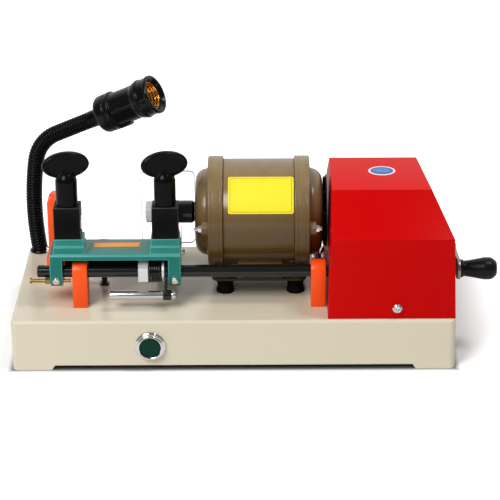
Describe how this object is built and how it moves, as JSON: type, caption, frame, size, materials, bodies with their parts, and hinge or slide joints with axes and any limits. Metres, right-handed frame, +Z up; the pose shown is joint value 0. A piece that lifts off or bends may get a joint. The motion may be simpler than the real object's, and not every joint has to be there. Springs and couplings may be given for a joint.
{
  "type": "key duplicating machine",
  "caption": "Hand-fed key duplicating machine with a motor-driven slotting cutter, a tilting carriage with key vises, a tracer post, a crank feed under a sheet cover and a gooseneck work lamp.",
  "frame": {"origin": "under the middle of the overall footprint, at floor level", "axes": "+X along the base from the tracer end to the crank end, +Y from the push-button side to the back, +Z up"},
  "size_m": [0.4944, 0.203, 0.2654],
  "materials": {
    "acrylic": "clear acrylic",
    "base_enamel": "semi-gloss beige enamel",
    "black_plastic": "moulded",
    "black_steel": "black oxide steel",
    "brass": "bright",
    "bronze": "sintered bronze",
    "ceramic": "unglazed",
    "chrome": "polished",
    "cover_enamel": "gloss red enamel",
    "green_plastic": "dark green",
    "iron": "cast grey iron",
    "motor_enamel": "gloss taupe enamel",
    "orange_enamel": "gloss orange enamel",
    "phenolic": "moulded phenolic, semi-gloss",
    "plate_enamel": "dark brown enamel",
    "rubber": "moulded",
    "steel": "ground",
    "teal_enamel": "hammered teal enamel",
    "vise_black": "satin black",
    "white_plastic": "moulded",
    "zinc": "zinc plated"
  },
  "bodies": {
    "base": {"base_pan": "base_enamel", "switch_bezel": "chrome", "switch_block": "black_plastic", "run_capacitor": "white_plastic", "left_bracket": "orange_enamel", "right_bracket": "orange_enamel", "rod_bushes": "bronze", "tracer_post": "orange_enamel", "tracer_bar": "steel", "tracer_screws": "zinc", "frame_fasteners": "zinc", "motor_mounts": "rubber", "motor_plate": "plate_enamel", "motor_body": "motor_enamel", "motor_bell_left": "motor_enamel", "motor_bell_right": "motor_enamel", "motor_tie_bolts": "zinc", "stator": "iron", "motor_bearings": "steel", "cover": "cover_enamel", "small_screws": "zinc", "feed_brackets": "iron", "guard_bracket": "zinc", "guard": "acrylic", "earth_terminal": "zinc", "gooseneck": "black_steel", "lamp_cap": "phenolic", "lamp_body": "phenolic", "lamp_shell": "brass", "lamp_insert": "ceramic"},
    "rotor": {"motor_shaft": "steel", "rotor_core": "iron", "cutter_sleeve": "black_steel", "cutter": "steel", "cutter_nut": "steel", "cooling_fan": "black_plastic"},
    "slide_rod": {"carriage_rod": "black_steel", "rod_collars": "steel", "tilt_spring": "black_steel", "feed_yoke": "bronze"},
    "carriage": {"carriage_frame": "teal_enamel", "left_vise": "vise_black", "right_vise": "vise_black", "arm_screws": "zinc", "stop_pin": "brass", "tilt_stop_screw": "black_steel", "key_stop": "steel"},
    "left_jaw_body": {"left_jaw": "steel"},
    "right_jaw_body": {"right_jaw": "steel"},
    "left_clamp": {"left_knob": "phenolic", "left_clamp_screw": "steel"},
    "right_clamp": {"right_knob": "phenolic", "right_clamp_screw": "steel"},
    "gauge": {"gauge_lever": "black_steel", "gauge_bar": "steel"},
    "crank": {"feed_screw": "steel", "crank_arm": "zinc"},
    "grip": {"crank_grip": "phenolic"},
    "button": {"switch_button": "green_plastic"}
  },
  "joints": [
    {"name": "carriage_slide", "type": "slide", "parent": "base", "child": "slide_rod", "axis": [1, 0, 0], "range_m": [-0.036, 0.0015]},
    {"name": "crank_turn", "type": "hinge", "parent": "base", "child": "crank", "pos_m": [-0.0222, 0.0055, 0.09], "axis": [1, 0, 0], "range_deg": [-3241, 136]},
    {"name": "grip_spin", "type": "hinge", "parent": "crank", "child": "grip", "pos_m": [0.2278, -0.0465, 0.09], "axis": [1, 0, 0], "continuous": true},
    {"name": "carriage_tilt", "type": "hinge", "parent": "slide_rod", "child": "carriage", "pos_m": [-0.1422, -0.0495, 0.09], "axis": [1, 0, 0], "range_deg": [0, 30], "stiffness_Nm_per_rad": 0.15, "springref_deg": -68.75},
    {"name": "rotor_spin", "type": "hinge", "parent": "base", "child": "rotor", "pos_m": [0.0038, 0.0055, 0.133], "axis": [1, 0, 0], "continuous": true},
    {"name": "left_jaw_slide", "type": "slide", "parent": "carriage", "child": "left_jaw_body", "axis": [0, 0, 1], "range_m": [-0.0009, 0.0015]},
    {"name": "left_knob_turn", "type": "hinge", "parent": "left_jaw_body", "child": "left_clamp", "pos_m": [-0.1897, -0.0455, 0.15], "axis": [0, 0, 1], "range_deg": [-260, 433]},
    {"name": "right_jaw_slide", "type": "slide", "parent": "carriage", "child": "right_jaw_body", "axis": [0, 0, 1], "range_m": [-0.0009, 0.0015]},
    {"name": "right_knob_turn", "type": "hinge", "parent": "right_jaw_body", "child": "right_clamp", "pos_m": [-0.0907, -0.0455, 0.15], "axis": [0, 0, 1], "range_deg": [-260, 433]},
    {"name": "gauge_swing", "type": "hinge", "parent": "slide_rod", "child": "gauge", "pos_m": [-0.0902, -0.0495, 0.09], "axis": [-1, 0, 0], "range_deg": [0, 50]},
    {"name": "button_press", "type": "slide", "parent": "base", "child": "button", "axis": [0, 1, 0], "range_m": [0, 0.003], "stiffness_N_per_m": 800}
  ],
  "couplings": [
    {"joint": "crank_turn", "follows": "carriage_slide", "rad_per_m": 1570.8},
    {"joint": "left_knob_turn", "follows": "left_jaw_slide", "rad_per_m": 5026.5},
    {"joint": "right_knob_turn", "follows": "right_jaw_slide", "rad_per_m": 5026.5}
  ]
}
